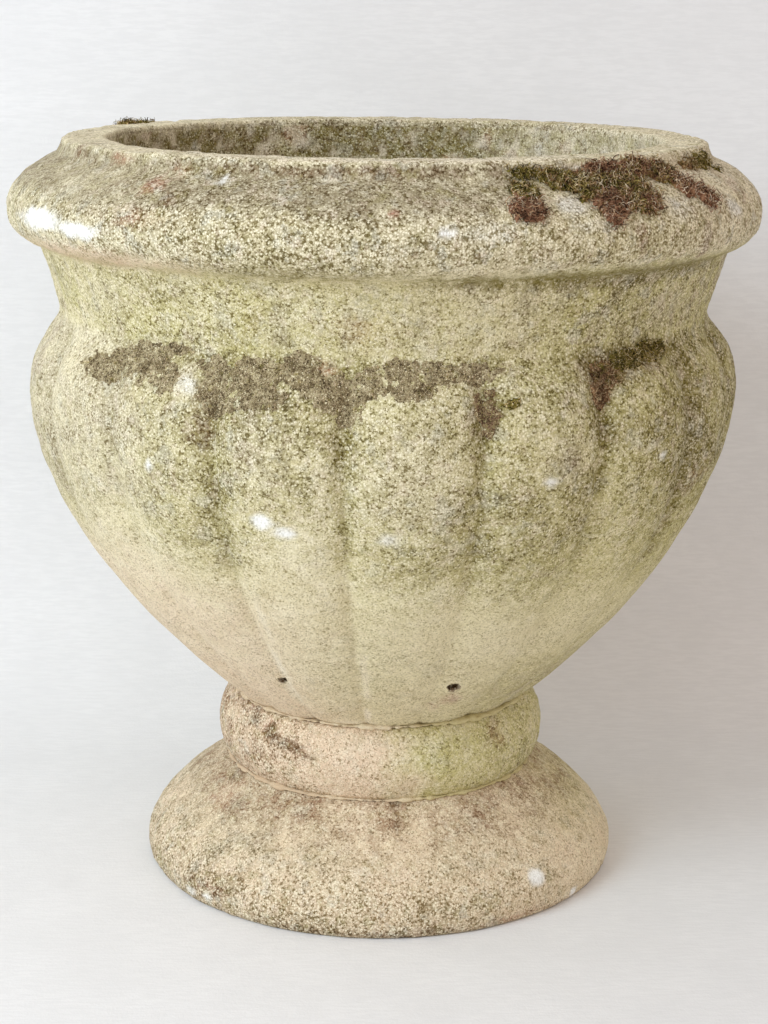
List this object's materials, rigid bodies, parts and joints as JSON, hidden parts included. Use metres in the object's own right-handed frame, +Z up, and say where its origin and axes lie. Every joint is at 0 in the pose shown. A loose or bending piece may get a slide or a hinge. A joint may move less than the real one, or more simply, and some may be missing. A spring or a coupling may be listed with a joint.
{
  "type": "urn planter",
  "caption": "Round garden urn in weathered cast stone: rolled rim, lobed bowl with weep holes, round collar and flared foot, open on top for soil and plants.",
  "frame": {"origin": "middle of the foot's flat underside, on the floor", "axes": "+Z up along the urn's axis; -Y is the front seen in the picture, +X is to its right"},
  "size_m": [0.5208, 0.5208, 0.5254],
  "materials": {
    "bowl_stone": "matte",
    "foot_stone": "matte",
    "mortar": "matte",
    "iron": "matte",
    "moss": "matte"
  },
  "bodies": {
    "root": {"foot": "foot_stone", "collar_bed_mortar": "mortar", "collar": "foot_stone", "bowl_bed_mortar": "mortar", "bowl": "bowl_stone", "centre_dowel": "iron", "dowel_grout": "mortar", "shoulder_moss_left": "moss", "shoulder_moss_centre": "moss", "shoulder_moss_right": "moss", "groove_moss": "moss", "rim_moss_mat": "moss", "rim_moss_patch": "moss", "rim_moss_tuft_right": "moss", "rim_moss_tuft_back": "moss"}
  },
  "joints": []
}
